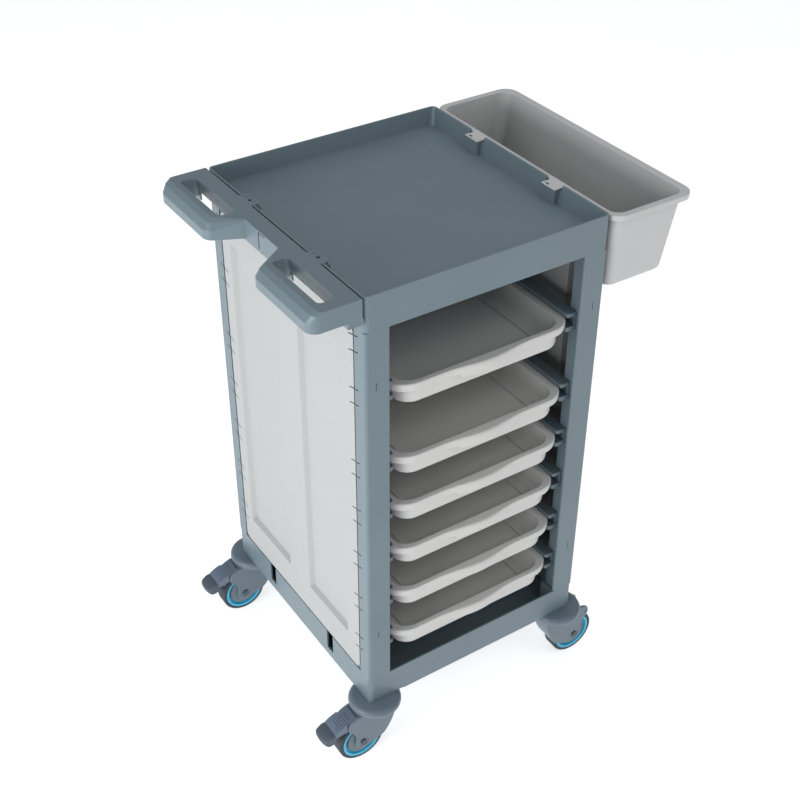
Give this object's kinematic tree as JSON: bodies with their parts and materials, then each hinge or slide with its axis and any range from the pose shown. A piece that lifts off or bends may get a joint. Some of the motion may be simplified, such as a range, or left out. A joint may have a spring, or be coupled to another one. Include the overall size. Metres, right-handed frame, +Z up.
{
  "type": "rolling utility cart",
  "caption": "Moulded rolling utility cart with pull-out trays on runners, recessed top tray, push handle, hang-on side bin and swivel casters.",
  "frame": {"origin": "floor level, centre of the bounding box in plan", "axes": "+Z up, -Y towards the open front that the trays pull out of, -X towards the push handle, +X towards the hang-on bin"},
  "size_m": [0.785, 0.598, 1.0645],
  "materials": {
    "body": "matte blue-grey moulded plastic",
    "runner": "matte blue-grey moulded plastic",
    "panel": "light grey moulded plastic, fine grain",
    "drawer": "light warm grey moulded plastic, satin",
    "bin": "mid light grey moulded plastic, satin",
    "caster": "blue-grey nylon, satin",
    "hub": "blue-grey nylon, satin",
    "pedal": "dark blue-grey nylon, satin",
    "band": "light blue plastic, satin",
    "tyre": "dark grey non-marking rubber",
    "steel": "zinc-plated steel"
  },
  "bodies": {
    "cart": {"base_tub": "body", "post_fl": "body", "post_fr": "body", "post_bl": "body", "post_br": "body", "panel_left": "panel", "panel_right": "panel", "panel_rear": "panel", "top_tray": "body", "handle_unit": "body", "runner_1l": "runner", "runner_1r": "runner", "runner_2l": "runner", "runner_2r": "runner", "runner_3l": "runner", "runner_3r": "runner", "runner_4l": "runner", "runner_4r": "runner", "runner_5l": "runner", "runner_5r": "runner", "runner_6l": "runner", "runner_6r": "runner", "cover_fl": "caster", "cover_fr": "caster", "cover_bl": "caster", "cover_br": "caster", "caster_stems": "steel", "swivel_races": "steel", "caster_screws": "steel"},
    "side_bin": {"bin": "bin"},
    "tray_1": {"drawer_1": "drawer"},
    "tray_2": {"drawer_2": "drawer"},
    "tray_3": {"drawer_3": "drawer"},
    "tray_4": {"drawer_4": "drawer"},
    "tray_5": {"drawer_5": "drawer"},
    "tray_6": {"drawer_6": "drawer"},
    "swivel_fl": {"fork_fl": "caster", "axle_fl": "steel"},
    "wheel_fl": {"hub_fl": "hub", "rim_fl": "band", "tyre_fl": "tyre"},
    "swivel_fr": {"fork_fr": "caster", "axle_fr": "steel"},
    "wheel_fr": {"hub_fr": "hub", "rim_fr": "band", "tyre_fr": "tyre"},
    "swivel_bl": {"fork_bl": "caster", "axle_bl": "steel"},
    "wheel_bl": {"hub_bl": "hub", "rim_bl": "band", "tyre_bl": "tyre"},
    "swivel_br": {"fork_br": "caster", "axle_br": "steel"},
    "wheel_br": {"hub_br": "hub", "rim_br": "band", "tyre_br": "tyre"},
    "brake_fl": {"pedal_fl": "pedal"},
    "brake_bl": {"pedal_bl": "pedal"}
  },
  "joints": [
    {"name": "bin_lift", "type": "slide", "parent": "cart", "child": "side_bin", "axis": [0, 0, 1], "range_m": [0, 0.03]},
    {"name": "drawer_1_slide", "type": "slide", "parent": "cart", "child": "tray_1", "axis": [0, -1, 0], "range_m": [0, 0.38]},
    {"name": "drawer_2_slide", "type": "slide", "parent": "cart", "child": "tray_2", "axis": [0, -1, 0], "range_m": [0, 0.38]},
    {"name": "drawer_3_slide", "type": "slide", "parent": "cart", "child": "tray_3", "axis": [0, -1, 0], "range_m": [0, 0.38]},
    {"name": "drawer_4_slide", "type": "slide", "parent": "cart", "child": "tray_4", "axis": [0, -1, 0], "range_m": [0, 0.38]},
    {"name": "drawer_5_slide", "type": "slide", "parent": "cart", "child": "tray_5", "axis": [0, -1, 0], "range_m": [0, 0.38]},
    {"name": "drawer_6_slide", "type": "slide", "parent": "cart", "child": "tray_6", "axis": [0, -1, 0], "range_m": [0, 0.38]},
    {"name": "swivel_fl_turn", "type": "hinge", "parent": "cart", "child": "swivel_fl", "pos_m": [-0.2655, -0.247, 0.1225], "axis": [0, 0, 1], "continuous": true},
    {"name": "wheel_fl_spin", "type": "hinge", "parent": "swivel_fl", "child": "wheel_fl", "pos_m": [-0.3055, -0.247, 0.05], "axis": [0, 1, 0], "continuous": true},
    {"name": "swivel_fr_turn", "type": "hinge", "parent": "cart", "child": "swivel_fr", "pos_m": [0.1845, -0.247, 0.1225], "axis": [0, 0, 1], "continuous": true},
    {"name": "wheel_fr_spin", "type": "hinge", "parent": "swivel_fr", "child": "wheel_fr", "pos_m": [0.2245, -0.247, 0.05], "axis": [0, 1, 0], "continuous": true},
    {"name": "swivel_bl_turn", "type": "hinge", "parent": "cart", "child": "swivel_bl", "pos_m": [-0.2655, 0.247, 0.1225], "axis": [0, 0, 1], "continuous": true},
    {"name": "wheel_bl_spin", "type": "hinge", "parent": "swivel_bl", "child": "wheel_bl", "pos_m": [-0.3055, 0.247, 0.05], "axis": [0, 1, 0], "continuous": true},
    {"name": "swivel_br_turn", "type": "hinge", "parent": "cart", "child": "swivel_br", "pos_m": [0.1845, 0.247, 0.1225], "axis": [0, 0, 1], "continuous": true},
    {"name": "wheel_br_spin", "type": "hinge", "parent": "swivel_br", "child": "wheel_br", "pos_m": [0.2245, 0.247, 0.05], "axis": [0, 1, 0], "continuous": true},
    {"name": "brake_fl_press", "type": "hinge", "parent": "swivel_fl", "child": "brake_fl", "pos_m": [-0.3325, -0.247, 0.1025], "axis": [0, -1, 0], "range_deg": [0, 8]},
    {"name": "brake_bl_press", "type": "hinge", "parent": "swivel_bl", "child": "brake_bl", "pos_m": [-0.3325, 0.247, 0.1025], "axis": [0, -1, 0], "range_deg": [0, 8]}
  ]
}
